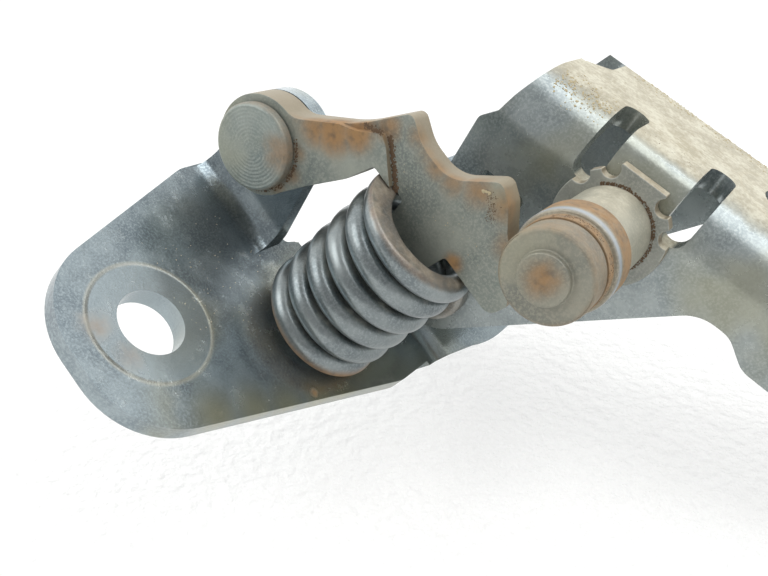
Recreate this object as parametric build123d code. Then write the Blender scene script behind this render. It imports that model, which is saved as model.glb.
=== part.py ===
"""Lower car door hinge with a spring-loaded check lever.

Millimetres. The pieces are drawn with the hinge pin along Z and the pillar face as the
plane Y = 0, midway between the two pillar bolt holes. Last, they are laid down so that the
pillar face is the ground, with +Z pointing out of the pillar and -Y towards the front hole.
"""
from build123d import *
from math import ceil, cos, radians, sin, tan
import os

# Stamped plate of both leaves
PLATE = 4.5                # thickness
BEYOND = 60.0              # past either side of the pillar leaf, for what is cut to its outline
EDGE_ROLL = 0.9            # edge rounding that the press leaves on the outer side

# Pillar leaf: feet
HOLE_SPACING = 110.2       # bolt hole to bolt hole, along Z
BOLT_HOLE_D = 13.0
FOOT_REACH = 16.7          # foot edge beyond the front hole
FOOT_TIP_LEFT = 14.0       # half widths of the front foot's tip, before rounding
FOOT_TIP_RIGHT = 16.8
FOOT_CORNER_R = 17.0
FOOT_LEFT_X = -27.0        # left side of the front foot where the lever ear rises
FOOT_SIDES_Z = (26.6, 8.0) # where its left and right sides start to close in
NECK_LEFT_X = 1.2          # left side of the neck between foot and ears
REAR_FOOT_R = 14.0         # rounding around the rear hole
SPRING_PIP_R = 6.0         # pressed pip that keeps the spring in place
SPRING_PIP_TOP_R = 4.5
SPRING_PIP_H = 3.0

# Pillar leaf: hinge ears
PIN_X = 21.9               # hinge pin axis
PIN_Y = 20.6
EAR_FRONT_Z = -7.1         # front face of the front ear
EARS_OUTSIDE = 31.0        # over both ears
EAR_R = 17.4               # ear rounding around the pin
EAR_FOOT_X = 35.1          # their right side at the foot
EAR_BEND_IN = 4.0          # inside bend radius at the foot
BRIDGE_X = 0.2             # outer face of the bridge that joins both ears
BRIDGE_BEND_OUT = 7.0      # its bends to the ears
BRIDGE_SPAN = 8.0          # its width in X with those bends
BRIDGE_TOP_Y = 30.2
BRIDGE_LOW_Y = 10.0

# Pillar leaf: lever ear
PIVOT_X = -18.5            # lever pivot axis
PIVOT_Y = 23.0
LEVER_EAR_Z = 17.6         # front face of the ear
LEVER_EAR_R = 9.9
LEVER_EAR_RIGHT_X = -2.9   # right side of the ear at the foot
LEVER_EAR_BEND_IN = 6.0
NOTCH_Z = 9.4              # rear edge of the foot beside the lever ear

# Hinge pin and its bushes
PIN_D = 10.0
PIN_HEAD_D = 16.0
PIN_HEAD_T = 3.0
PIN_HEAD_ROUND = 1.2
PIN_POINT = 1.0            # chamfer at the tail
PIN_TAIL = 4.5             # pin beyond the rear wall
RUNNING = 0.04             # radial running clearance
BUSH_WALL = 1.5
BUSH_FLANGE_D = 17.0
BUSH_FLANGE_T = 1.2
SIDE_PLAY = 0.3            # between a bush flange and the door leaf
CLIP_D = 15.0
CLIP_T = 1.2
CLIP_GROOVE = 1.0          # depth
CLIP_PLAY = 0.1            # groove wider than the clip
CLIP_MOUTH = 7.4
CLIP_EYE_D = 3.0           # holes for the pliers
CLIP_EYE = (5.4, -3.0)

# Check lever
LEVER_T = 6.35             # at the arm
LEVER_STEP = 1.2           # the cam end is coined thinner by this much
LEVER_EYE_R = 9.9
LEVER_SEAT = 18.2          # shoulders over the spring, above the pivot
LEVER_ROOT_R = 5.0         # where the arm's top meets the eye
LEVER_GAP = 0.3            # side gap to the ear and under the pin head
PIVOT_D = 11.0
PIVOT_HEAD_D = 17.0
PIVOT_HEAD_T = 2.35
PIVOT_TAIL_D = 14.0
PIVOT_TAIL_T = 2.5
HEAD_EDGE = 0.45           # chamfer of the riveted pins' heads
TAIL_ROUND = 1.7           # rounding of their hammered tails

# Check spring
SPRING_X = 14.9
SPRING_D = 27.0            # outside
WIRE_D = 5.1
SPRING_PITCH = 6.1
SPRING_END_PITCH = 5.3     # of the closed turn at each end
SPRING_GRIND = 1.2         # ground off each end
SPRING_START = 200.0       # where the wire starts on the foot, degrees round the axis
SPRING_SEAT_GAP = 0.3      # under the lever's shoulders

# Door leaf, a channel in its own frame: U along the web, W across it, both from the pin
LEAF_TURN = 16.0           # web against the foot, degrees
WEB_W = 50.4               # outer face of the web
LEAF_EAR_R = 11.0
LEAF_END_U = 96.0
LEAF_CORNER_R = 14.0       # of the web's far end
END_CUT = (10.0, 12.0)     # sloping corner of the walls there
FRONT_BEND_OUT = 12.5      # outside bend radius, web to front wall
REAR_BEND_OUT = 6.0        # web to rear wall
SEAT_BEND_OUT = 6.0        # tighter front bend of the tongue that carries the roller stud
FRONT_EDGE_SLOPE = 46.5    # sloping lower edge of the front wall, degrees
FRONT_HUMP_W = 31.4        # the front wall's shallowest place, beyond the slope
FRONT_LOW_W = 27.7         # and its straight run to the end
HUMP_LENGTH = 6.5
RUN_START = 12.0           # where that run starts, from the hump's near side
REAR_EDGE_SLOPE = 56.5
REAR_HUMP_W = 36.5
REAR_LOW_W = 33.5
WEB_END_U = -5.2           # web's end over the pin
SLOT_W = 5.5               # width of the two slots
SLOT_U = (12.2, 32.1)      # their centre lines
SLOT_FOOT_W = 37.8         # lower end, in the front wall
SLOT_REACH = 14.6          # how far they run into the web
WINDOW = 10.8              # square window in the front wall
WINDOW_U = 0.8
WINDOW_TOP_W = 27.7
WINDOW_R = 1.5
WEB_HOLE_U = (46.2, 78.2)
WEB_HOLE_D = 13.0
END_NOTCH = 5.4            # notch in the web's end
END_NOTCH_WIDTH = 11.7
END_NOTCH_Z = -34.15       # centre
END_TAB_U = -4.2           # the rear wall's end beside the notch
END_NOTCH_RUN = 7.0        # rounded run from the web's end down to it

# Roller group, on the door leaf
ROLLER_U = 22.25
ROLLER_W = 34.45
ROLLER_D = 18.4
ROLLER_T = 9.2
ROLLER_BAND = 7.0          # width that the lever rides on
ROLLER_HUB_D = 16.8        # the narrower part beside it
ROLLER_EDGE = 0.6
STUD_D = 9.0
STUD_HEAD_D = 16.4
STUD_HEAD_T = 5.6
STUD_TAIL_D = 13.0
STUD_TAIL_T = 2.5
STUD_BOSS_D = 9.0          # turned boss on the head's face
STUD_BOSS_T = 1.3
SLEEVE_D = 16.4
FLANGE_R = 11.3
FLANGE_T = 2.7
FLANGE_TAB = 9.8           # flat-topped tab's width
FLANGE_TAB_W = 11.6        # its height above the stud's axis
FLANGE_NOTCH_R = 1.8
FLANGE_NOTCHES = (28, 58, 122, 152)   # degrees round the rim

# Places that follow from the sizes above
FRONT_HOLE_Z = HOLE_SPACING / 2
EAR_REAR_Z = EAR_FRONT_Z - EARS_OUTSIDE
WALL_GAP = BUSH_FLANGE_T + SIDE_PLAY
WALL_BACK_Z = EAR_FRONT_Z + WALL_GAP          # inner face of the front wall
WALL_FRONT_Z = WALL_BACK_Z + PLATE
REAR_WALL_IN_Z = EAR_REAR_Z - WALL_GAP
REAR_WALL_OUT_Z = REAR_WALL_IN_Z - PLATE
LEVER_BACK_Z = LEVER_EAR_Z + LEVER_GAP
LEVER_FRONT_Z = LEVER_BACK_Z + LEVER_T
CAM_FRONT_Z = LEVER_FRONT_Z - LEVER_STEP
LEVER_MID_Z = (LEVER_BACK_Z + LEVER_FRONT_Z) / 2
SEAT_Y = PIVOT_Y + LEVER_SEAT
BUSH_D = PIN_D + 2 * RUNNING + 2 * BUSH_WALL
LAID = Rot(90, 0, 0)
LEAF_PLACE = Location((PIN_X, PIN_Y, 0), (0, 0, LEAF_TURN))
FLANGE_FRONT_Z = WALL_FRONT_Z + FLANGE_T
ROLLER_BACK_Z = LEVER_MID_Z - ROLLER_BAND / 2
ROLLER_FRONT_Z = ROLLER_BACK_Z + ROLLER_T
ROLLER_PLACE = LEAF_PLACE * Pos(ROLLER_U, ROLLER_W, 0)


def disc(diameter, low, high, x=0.0, y=0.0):
    """Cylinder along Z between two heights."""
    return Pos(x, y, low) * Cylinder(diameter / 2, high - low,
                                     align=(Align.CENTER, Align.CENTER, Align.MIN))


def slab(outline, low, high):
    """Flat outline in X and Y, made solid from one height to another along Z."""
    return Pos(0, 0, low) * extrude(outline, amount=high - low)


def plan(points, radii, low, high):
    """Outline in X and Z with rounded corners, made solid between two heights along Y."""
    wire = FilletPolyline(*points, radius=radii, close=True)
    return Pos(0, low, 0) * extrude(Plane.XZ * make_face(wire), amount=low - high)


def rounded(points, radii):
    """Closed outline in X and Y with one radius for each corner."""
    return make_face(FilletPolyline(*points, radius=radii, close=True))


def bent_sheet(face_z, bend_in, top_y, flat_z, left, right):
    """Plate lying on the pillar that turns up to an ear whose flat-side face is at face_z.

    flat_z is the far end of the flat part, in front of the ear or behind it.
    """
    way = 1 if flat_z > face_z else -1
    inner, outer = bend_in, bend_in + PLATE
    centre = (PLATE + inner, face_z + way * inner)
    half = sin(radians(45))
    with BuildPart() as sheet:
        with BuildSketch(Plane.YZ):
            with BuildLine():
                Polyline((centre[0], face_z), (top_y, face_z), (top_y, face_z - way * PLATE),
                         (centre[0], face_z - way * PLATE))
                ThreePointArc((centre[0], face_z - way * PLATE),
                              (centre[0] - outer * half, centre[1] - way * outer * half),
                              (0, centre[1]))
                Polyline((0, centre[1]), (0, flat_z), (PLATE, flat_z), (PLATE, centre[1]))
                ThreePointArc((PLATE, centre[1]),
                              (centre[0] - inner * half, centre[1] - way * inner * half),
                              (centre[0], face_z))
            make_face()
        extrude(amount=right - left)
    return Pos(left, 0, 0) * sheet.part


def pillar_leaf():
    tip_z = FRONT_HOLE_Z + FOOT_REACH
    rear_hole_z = -FRONT_HOLE_Z

    # front foot, neck and front hinge ear are one strip, bent once
    front_strip = bent_sheet(EAR_FRONT_Z, EAR_BEND_IN, PIN_Y + EAR_R, tip_z, -BEYOND, BEYOND)
    foot = plan(
        [(FOOT_LEFT_X, LEVER_EAR_Z - PLATE), (FOOT_LEFT_X, FOOT_SIDES_Z[0]),
         (-FOOT_TIP_LEFT, tip_z), (FOOT_TIP_RIGHT, tip_z), (EAR_FOOT_X, FOOT_SIDES_Z[1]),
         (EAR_FOOT_X, EAR_FRONT_Z - 2 * PLATE),
         (NECK_LEFT_X, EAR_FRONT_Z - 2 * PLATE), (NECK_LEFT_X, NOTCH_Z), (LEVER_EAR_RIGHT_X, NOTCH_Z),
         (LEVER_EAR_RIGHT_X - 1, LEVER_EAR_Z - PLATE)],
        [0, 8, FOOT_CORNER_R, FOOT_CORNER_R, 10, 0, 0, 4, 1.5, 1.5],
        0, PLATE + EAR_BEND_IN)
    rim = foot.edges().group_by(Axis.Y)[0].filter_by(lambda e: e.center().Z > LEVER_EAR_Z)
    foot = fillet(rim, EDGE_ROLL)
    ear = hinge_ear()
    leaf = front_strip & (foot + slab(ear, EAR_FRONT_Z - PLATE - 1, EAR_FRONT_Z + EAR_BEND_IN))

    # rear ear and rear foot, bent the other way
    rear_strip = bent_sheet(EAR_REAR_Z, EAR_BEND_IN, PIN_Y + EAR_R,
                            rear_hole_z - REAR_FOOT_R, -BEYOND, BEYOND)
    rear_foot = plan(
        [(EAR_FOOT_X, EAR_REAR_Z + 2 * PLATE), (EAR_FOOT_X, EAR_REAR_Z - 6),
         (REAR_FOOT_R, rear_hole_z - REAR_FOOT_R), (-REAR_FOOT_R, rear_hole_z - REAR_FOOT_R),
         (-REAR_FOOT_R, rear_hole_z + 2), (NECK_LEFT_X, EAR_REAR_Z - 2),
         (NECK_LEFT_X, EAR_REAR_Z + 2 * PLATE)],
        [0, 8, REAR_FOOT_R - 2, REAR_FOOT_R - 2, 8, 4, 0],
        -1, PLATE + EAR_BEND_IN)
    leaf += rear_strip & (rear_foot + slab(ear, EAR_REAR_Z - EAR_BEND_IN,
                                           EAR_REAR_Z + PLATE + 1))

    # bridge between the ears, with the ears' own bends at its corners
    far = BRIDGE_X + BRIDGE_SPAN
    around = [(far, EAR_FRONT_Z), (BRIDGE_X, EAR_FRONT_Z), (BRIDGE_X, EAR_REAR_Z),
              (far, EAR_REAR_Z)]
    inside = [(far + 1, EAR_FRONT_Z - PLATE), (BRIDGE_X + PLATE, EAR_FRONT_Z - PLATE),
              (BRIDGE_X + PLATE, EAR_REAR_Z + PLATE), (far + 1, EAR_REAR_Z + PLATE)]
    bend_in = BRIDGE_BEND_OUT - PLATE
    leaf += (plan(around, [0, BRIDGE_BEND_OUT, BRIDGE_BEND_OUT, 0], BRIDGE_LOW_Y, BRIDGE_TOP_Y)
             - plan(inside, [0, bend_in, bend_in, 0], 0, PIN_Y + EAR_R))

    # lever ear, bent up from the side of the front foot
    ear_strip = bent_sheet(LEVER_EAR_Z, LEVER_EAR_BEND_IN, PIVOT_Y + LEVER_EAR_R,
                           LEVER_EAR_Z + LEVER_EAR_BEND_IN + 1, -BEYOND, BEYOND)
    eye = Pos(PIVOT_X, PIVOT_Y) * Circle(LEVER_EAR_R)
    web = Polygon((PIVOT_X - LEVER_EAR_R, PIVOT_Y), (FOOT_LEFT_X + EDGE_ROLL, 0),
                  (LEVER_EAR_RIGHT_X, 0), (PIVOT_X + LEVER_EAR_R - 0.4, PIVOT_Y + 1), align=None)
    ear_zone = slab(eye + web, LEVER_EAR_Z - PLATE, LEVER_EAR_Z + LEVER_EAR_BEND_IN + 1)
    ear_zone = fillet(ear_zone.edges().group_by(Axis.Z)[0], EDGE_ROLL)
    leaf += ear_strip & ear_zone

    # pressed pip under the spring, hollow from the pillar side
    leaf += pip(SPRING_PIP_R, SPRING_PIP_TOP_R, PLATE)
    leaf -= pip(SPRING_PIP_R - PLATE / 2, SPRING_PIP_TOP_R - PLATE / 2, 0)

    # holes
    for z in (FRONT_HOLE_Z, rear_hole_z):
        leaf -= Pos(0, PLATE / 2, z) * Rot(90, 0, 0) * Cylinder(BOLT_HOLE_D / 2, 2 * PLATE)
    leaf -= disc(BUSH_D, EAR_REAR_Z - 1, EAR_FRONT_Z + 1, PIN_X, PIN_Y)
    leaf -= disc(PIVOT_D, LEVER_EAR_Z - PLATE - 1, LEVER_EAR_Z + 1, PIVOT_X, PIVOT_Y)
    return leaf


def hinge_ear():
    """Ear outline: round over the pin, straight on the bridge's side, splayed on the other."""
    top = Pos(PIN_X, PIN_Y) * Circle(EAR_R)
    left = BRIDGE_X + BRIDGE_SPAN
    skirt = Polygon((BRIDGE_X + 1, 0), (EAR_FOOT_X, 0), (EAR_FOOT_X + 1.5, 6), (PIN_X + EAR_R, PIN_Y),
                    (PIN_X, PIN_Y + EAR_R / 2), (left, BRIDGE_TOP_Y), (left, BRIDGE_LOW_Y),
                    (BRIDGE_X + 1, BRIDGE_LOW_Y), align=None)
    return top + skirt


def pip(radius, top_radius, base):
    """Low round cone standing on the foot, on the spring's axis."""
    cone = Cone(radius, top_radius, SPRING_PIP_H, align=(Align.CENTER, Align.CENTER, Align.MIN))
    return Pos(SPRING_X, base, LEVER_MID_Z) * Rot(-90, 0, 0) * cone


def hinge_bush(flange_z, way):
    """Flanged bush; way points from the flange into the ear."""
    bore = PIN_D + 2 * RUNNING
    ends = sorted((flange_z, flange_z + way * (BUSH_FLANGE_T + PLATE)))
    flange = sorted((flange_z, flange_z + way * BUSH_FLANGE_T))
    bush = disc(BUSH_D, *ends, PIN_X, PIN_Y) + disc(BUSH_FLANGE_D, *flange, PIN_X, PIN_Y)
    return bush - disc(bore, ends[0] - 1, ends[1] + 1, PIN_X, PIN_Y)


def hinge_pin():
    tail_z = REAR_WALL_OUT_Z - PIN_TAIL
    head = disc(PIN_HEAD_D, WALL_FRONT_Z, WALL_FRONT_Z + PIN_HEAD_T)
    head = fillet(head.edges().group_by(Axis.Z)[-1], PIN_HEAD_ROUND)
    shank = disc(PIN_D, tail_z, WALL_FRONT_Z)
    shank = chamfer(shank.edges().group_by(Axis.Z)[0], PIN_POINT)
    groove = disc(PIN_D + 2, REAR_WALL_OUT_Z - CLIP_T - CLIP_PLAY, REAR_WALL_OUT_Z)
    groove -= disc(PIN_D - 2 * CLIP_GROOVE, REAR_WALL_OUT_Z - CLIP_T - 1, REAR_WALL_OUT_Z + 1)
    return Pos(PIN_X, PIN_Y, 0) * (head + shank - groove)


def pin_clip():
    """E-shaped ring in the pin's groove, open on one side."""
    ring = disc(CLIP_D, REAR_WALL_OUT_Z - CLIP_T, REAR_WALL_OUT_Z)
    ring -= disc(PIN_D - 2 * CLIP_GROOVE, REAR_WALL_OUT_Z - CLIP_T - 1, REAR_WALL_OUT_Z + 1)
    mouth = Box(CLIP_MOUTH, CLIP_D, 4 * CLIP_T,
                align=(Align.CENTER, Align.MIN, Align.CENTER))
    ring -= Pos(0, 0, REAR_WALL_OUT_Z) * mouth
    for side in (-1, 1):
        ring -= disc(CLIP_EYE_D, REAR_WALL_OUT_Z - 2 * CLIP_T, REAR_WALL_OUT_Z + 1,
                     side * CLIP_EYE[0], CLIP_EYE[1])
    return Pos(PIN_X, PIN_Y, 0) * Rot(0, 0, LEAF_TURN) * ring


def lever_outline():
    """Outline about the pivot: arm, two-humped cam edge, nose, spring shoulders and tongue."""
    seat = LEVER_SEAT
    points = [(-4.3, 4.1), (10.6, 19.8), (16.4, 30.3), (21.8, 27.9), (29.2, 28.0), (35.5, 36.1),
              (39.3, 34.4), (43.2, 30.8), (47.0, 29.2), (52.9, 22.4), (52.3, seat), (39.4, seat),
              (38.4, 10.0), (27.6, 10.0), (26.6, seat), (18.8, seat), (16.9, 12.0), (12.3, 3.2),
              (9.0, -3.9), (0, -3)]
    radii = [0.5, 25, 1.5, 9, 7, 1.8, 3, 5, 4, 0.8, 2.2, 0.8, 2.5, 2.5, 0.8, 0.8, 12, 12, 0.5, 0.5]
    return rounded(points, radii) + Circle(LEVER_EYE_R)


def check_lever():
    outline = lever_outline()
    root = outline.vertices().sort_by_distance((1.1, 9.8, 0))[0]
    outline = fillet(root, LEVER_ROOT_R)
    raised = rounded([(-14, -14), (-14, 14), (3, 14), (11.6, 19.6), (15.4, 23.6), (17.8, 22.6),
                      (25, 17.0), (25, -14)], [1, 1, 1, 2, 0.8, 2, 1, 1])
    lever = slab(outline, LEVER_BACK_Z, CAM_FRONT_Z)
    lever += slab(outline & raised, LEVER_BACK_Z, LEVER_FRONT_Z)
    lever = Pos(PIVOT_X, PIVOT_Y, 0) * lever
    return lever - disc(PIVOT_D + 2 * RUNNING, LEVER_BACK_Z - 1, LEVER_FRONT_Z + 1,
                        PIVOT_X, PIVOT_Y)


def lever_pivot_pin():
    head_z = LEVER_FRONT_Z + LEVER_GAP
    back_z = LEVER_EAR_Z - PLATE
    head = disc(PIVOT_HEAD_D, head_z, head_z + PIVOT_HEAD_T)
    head = chamfer(head.edges().group_by(Axis.Z)[-1], HEAD_EDGE)
    shank = disc(PIVOT_D, back_z, head_z)
    tail = disc(PIVOT_TAIL_D, back_z - PIVOT_TAIL_T, back_z)
    tail = fillet(tail.edges().group_by(Axis.Z)[0], TAIL_ROUND)
    return Pos(PIVOT_X, PIVOT_Y, 0) * (head + shank + tail)


def check_spring():
    """Coil from the foot to the lever's shoulders, both ends closed and ground flat."""
    low, high = PLATE, SEAT_Y - SPRING_SEAT_GAP
    start, rise = WIRE_D / 2 - SPRING_GRIND, high - low - WIRE_D + 2 * SPRING_GRIND
    open_turns = (rise - 2 * SPRING_END_PITCH) / SPRING_PITCH
    turns = open_turns + 2

    def height(turn):
        closed = min(turn, 1) + max(turn - 1 - open_turns, 0)
        return start + closed * SPRING_END_PITCH + min(max(turn - 1, 0), open_turns) * SPRING_PITCH

    mean_r = (SPRING_D - WIRE_D) / 2
    steps = ceil(turns * 8)
    stops = [turns * i / steps for i in range(steps + 1)]
    angles = [radians(SPRING_START + 360 * turn) for turn in stops]
    path = Spline(*[(mean_r * cos(a), mean_r * sin(a), height(turn))
                    for a, turn in zip(angles, stops)])
    wire = sweep(Plane(path @ 0, z_dir=path % 0) * Circle(WIRE_D / 2), path=path)
    keep = Box(2 * SPRING_D, 2 * SPRING_D, high - low, align=(Align.CENTER, Align.CENTER, Align.MIN))
    return Pos(SPRING_X, low, LEVER_MID_Z) * Rot(-90, 0, 0) * (wire & keep)


def leaf_wall(slope, hump_w, low_w, end_u):
    """Side outline of one wall of the door leaf about the pin, up to the web."""
    run = radians(slope)
    touch = (LEAF_EAR_R * sin(run), -LEAF_EAR_R * cos(run))
    hump_u = touch[0] + (hump_w - touch[1]) / tan(run)
    points = [(0, 0), touch, (hump_u, hump_w), (hump_u + HUMP_LENGTH, hump_w),
              (hump_u + RUN_START, low_w),
              (LEAF_END_U - END_CUT[0], low_w), (LEAF_END_U, low_w + END_CUT[1]),
              (LEAF_END_U, WEB_W), (end_u, WEB_W), (-7.3, 43.0), (-8.2, 38.8),
              (-LEAF_EAR_R, 35.6), (-LEAF_EAR_R, 0)]
    radii = [0, 0, 8, 5, 5, 8, 5, 0, 0, 3, 2, 2, 0]
    return rounded(points, radii) + Circle(LEAF_EAR_R)


def hollow_box(low_u, high_u, front_bend, rear_bend, wall):
    """Long box inside the walls, rounded where it meets the web; wall 0 gives the outside."""
    width = WALL_FRONT_Z - REAR_WALL_OUT_Z - 2 * wall
    middle_z = (WALL_FRONT_Z + REAR_WALL_OUT_Z) / 2
    box = Box(high_u - low_u, WEB_W + 2 * LEAF_EAR_R, width,
              align=(Align.MIN, Align.MAX, Align.CENTER))
    upper = box.edges().filter_by(Axis.X).group_by(Axis.Y)[-1].sort_by(Axis.Z)
    box = fillet(upper[-1], front_bend - wall)
    lower = box.edges().filter_by(Axis.X).group_by(Axis.Y)[-1].sort_by(Axis.Z)
    box = fillet(lower[0], rear_bend - wall)
    return Pos(low_u, WEB_W - wall, middle_z) * box


def channel(front_bend, low_u, high_u):
    """Length of the channel section, both walls down past the ears."""
    return (hollow_box(low_u, high_u, front_bend, REAR_BEND_OUT, 0)
            - hollow_box(low_u, high_u, front_bend, REAR_BEND_OUT, PLATE))


def door_leaf():
    mid_z = (WALL_FRONT_Z + REAR_WALL_OUT_Z) / 2
    half = (WALL_FRONT_Z - REAR_WALL_OUT_Z) / 2
    tongue = (SLOT_U[0] + SLOT_W / 2, SLOT_U[1] - SLOT_W / 2)
    web_corner = Box(tongue[1] - tongue[0], WEB_W - SLOT_FOOT_W, SLOT_REACH,
                     align=(Align.MIN, Align.MIN, Align.MAX))
    web_corner = Pos(tongue[0], SLOT_FOOT_W, WALL_FRONT_Z) * web_corner

    leaf = channel(FRONT_BEND_OUT, -2 * LEAF_EAR_R, LEAF_END_U + 1)
    leaf -= web_corner
    leaf += channel(SEAT_BEND_OUT, *tongue) & web_corner

    front = leaf_wall(FRONT_EDGE_SLOPE, FRONT_HUMP_W, FRONT_LOW_W, WEB_END_U)
    rear = leaf_wall(REAR_EDGE_SLOPE, REAR_HUMP_W, REAR_LOW_W, END_TAB_U)
    sides = slab(front, mid_z, WALL_FRONT_Z + 1) + slab(rear, REAR_WALL_OUT_Z - 1, mid_z)
    leaf &= sides

    # rounded far end of the web
    plan_end = plan([(-BEYOND, mid_z - half), (-BEYOND, mid_z + half),
                     (LEAF_END_U, mid_z + half), (LEAF_END_U, mid_z - half)],
                    [0, 0, LEAF_CORNER_R, LEAF_CORNER_R], -BEYOND, BEYOND)
    leaf &= plan_end

    # slots across the front bend, window, web holes, end notch, pin and stud holes
    for u in SLOT_U:
        reach = Box(SLOT_W, 2 * WEB_W, SLOT_REACH + 1, align=(Align.CENTER, Align.MIN, Align.MAX))
        reach = fillet(reach.edges().filter_by(Axis.Y).group_by(Axis.Z)[0], SLOT_W / 2 - 0.1)
        foot = Pos(0, SLOT_W / 2, 0) * reach
        foot += Pos(0, SLOT_W / 2, -SLOT_REACH / 2 - 0.5) * Cylinder(SLOT_W / 2, SLOT_REACH)
        leaf -= Pos(u, SLOT_FOOT_W, WALL_FRONT_Z + 1) * foot
    window = Pos(WINDOW_U, WINDOW_TOP_W - WINDOW / 2) * RectangleRounded(WINDOW, WINDOW, WINDOW_R)
    leaf -= slab(window, WALL_BACK_Z - 1, WALL_FRONT_Z + 1)
    for u in WEB_HOLE_U:
        leaf -= Pos(u, WEB_W, mid_z) * Rot(90, 0, 0) * Cylinder(WEB_HOLE_D / 2, 4 * PLATE)
    shoulder_z, tab_z = END_NOTCH_Z + END_NOTCH_WIDTH / 2, END_NOTCH_Z - END_NOTCH_WIDTH / 2
    bottom_u = WEB_END_U + END_NOTCH
    leaf -= plan([(-LEAF_EAR_R, shoulder_z + END_NOTCH_RUN), (WEB_END_U, shoulder_z + END_NOTCH_RUN),
                  (bottom_u, shoulder_z - 1), (bottom_u, tab_z), (-LEAF_EAR_R, tab_z)],
                 [0, 8, 3, 1.5, 0], WEB_W - 2 * PLATE, WEB_W + 1)
    leaf -= disc(PIN_D, REAR_WALL_OUT_Z - 1, WALL_FRONT_Z + 1)
    leaf -= disc(STUD_D, WALL_BACK_Z - 1, WALL_FRONT_Z + 1, ROLLER_U, ROLLER_W)
    return LEAF_PLACE * leaf


def stud_flange():
    """Notched plate under the sleeve, with a flat-topped tab towards the web."""
    outline = Circle(FLANGE_R)
    outline += Pos(0, FLANGE_TAB_W / 2) * Rectangle(FLANGE_TAB, FLANGE_TAB_W)
    for angle in FLANGE_NOTCHES:
        spot = Pos(FLANGE_R * cos(radians(angle)), FLANGE_R * sin(radians(angle)))
        outline -= spot * Circle(FLANGE_NOTCH_R)
    plate = slab(outline, WALL_FRONT_Z, FLANGE_FRONT_Z)
    return ROLLER_PLACE * (plate - disc(STUD_D, WALL_BACK_Z, FLANGE_FRONT_Z + 1))


def stud_sleeve():
    sleeve = disc(SLEEVE_D, FLANGE_FRONT_Z, ROLLER_BACK_Z - SIDE_PLAY)
    return ROLLER_PLACE * (sleeve - disc(STUD_D, WALL_BACK_Z, ROLLER_FRONT_Z))


def roller_stud():
    head_z = ROLLER_FRONT_Z + SIDE_PLAY
    head = disc(STUD_HEAD_D, head_z, head_z + STUD_HEAD_T)
    head = chamfer(head.edges().group_by(Axis.Z)[-1], HEAD_EDGE)
    boss = disc(STUD_BOSS_D, head_z, head_z + STUD_HEAD_T + STUD_BOSS_T)
    tail = disc(STUD_TAIL_D, WALL_BACK_Z - STUD_TAIL_T, WALL_BACK_Z)
    tail = fillet(tail.edges().group_by(Axis.Z)[0], TAIL_ROUND)
    return ROLLER_PLACE * (head + boss + disc(STUD_D, WALL_BACK_Z, head_z) + tail)


def roller():
    """Ring that the lever's cam edge runs on, with a narrower hub beside the band."""
    band = disc(ROLLER_D, ROLLER_BACK_Z, ROLLER_BACK_Z + ROLLER_BAND)
    band = fillet(band.edges().group_by(Axis.Z)[-1], ROLLER_EDGE)
    hub = disc(ROLLER_HUB_D, ROLLER_BACK_Z, ROLLER_FRONT_Z)
    bore = disc(STUD_D + 2 * RUNNING, ROLLER_BACK_Z - 1, ROLLER_FRONT_Z + 1)
    return ROLLER_PLACE * (band + hub - bore)


PIECES = {
    "pillar_leaf": pillar_leaf(),
    "hinge_bush_front": hinge_bush(EAR_FRONT_Z + BUSH_FLANGE_T, -1),
    "hinge_bush_rear": hinge_bush(EAR_REAR_Z - BUSH_FLANGE_T, 1),
    "lever_pivot_pin": lever_pivot_pin(),
    "check_spring": check_spring(),
    "check_lever": check_lever(),
    "door_leaf": door_leaf(),
    "hinge_pin": hinge_pin(),
    "pin_clip": pin_clip(),
    "stud_flange": stud_flange(),
    "stud_sleeve": stud_sleeve(),
    "roller_stud": roller_stud(),
    "roller": roller(),
}

os.makedirs("parts", exist_ok=True)
for name, piece in PIECES.items():
    placed = LAID * piece
    export_step(placed, f"parts/{name}.step")
    box = placed.bounding_box()
    print(f"{name:18} {piece.volume:9.0f} mm3  solids {len(piece.solids())}  valid {piece.is_valid}",
          [round(v, 1) for v in (*box.min, *box.max)])
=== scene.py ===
"""Lower car door hinge with a check lever: its finishes and light, in metres.

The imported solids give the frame: the pillar face is the plane Z = 0, +Z points out of the
pillar, and the hinge pin runs along Y.
"""
import math
import random

import bpy
from mathutils import Matrix, Vector


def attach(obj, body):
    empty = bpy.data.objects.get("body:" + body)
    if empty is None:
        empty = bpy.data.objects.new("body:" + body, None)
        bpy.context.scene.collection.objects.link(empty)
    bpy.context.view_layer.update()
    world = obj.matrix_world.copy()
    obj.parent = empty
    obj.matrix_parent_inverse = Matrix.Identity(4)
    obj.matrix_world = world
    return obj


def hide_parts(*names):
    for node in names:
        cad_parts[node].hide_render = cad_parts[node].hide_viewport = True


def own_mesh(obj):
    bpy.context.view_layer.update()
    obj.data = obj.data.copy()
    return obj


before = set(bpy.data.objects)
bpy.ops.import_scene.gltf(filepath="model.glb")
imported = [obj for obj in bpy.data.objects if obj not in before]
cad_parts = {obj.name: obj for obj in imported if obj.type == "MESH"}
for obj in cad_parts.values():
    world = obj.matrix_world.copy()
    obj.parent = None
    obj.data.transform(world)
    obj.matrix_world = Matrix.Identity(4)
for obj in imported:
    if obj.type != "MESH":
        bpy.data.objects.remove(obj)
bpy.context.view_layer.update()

# Pillar leaf. One stamped and bent plate of 4.5 mm steel, zinc plated dark grey-blue and bolted
# to the pillar. The press has rolled its edges, the bolts' washers have left a pale ring round
# each hole, and fine dust and a few rust spots lie on its foot.
MM = 0.001
PLATE = 4.5                    # thickness in mm, so the foot's top stands this high
PLATE_EDGE = 0.7 * MM
HOLE_Y = 55.1 * MM
FRONT_HOLE = Vector((0, -HOLE_Y, PLATE * MM))
REAR_HOLE = Vector((0, HOLE_Y, PLATE * MM))
WASHER_R = 12.1 * MM
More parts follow.
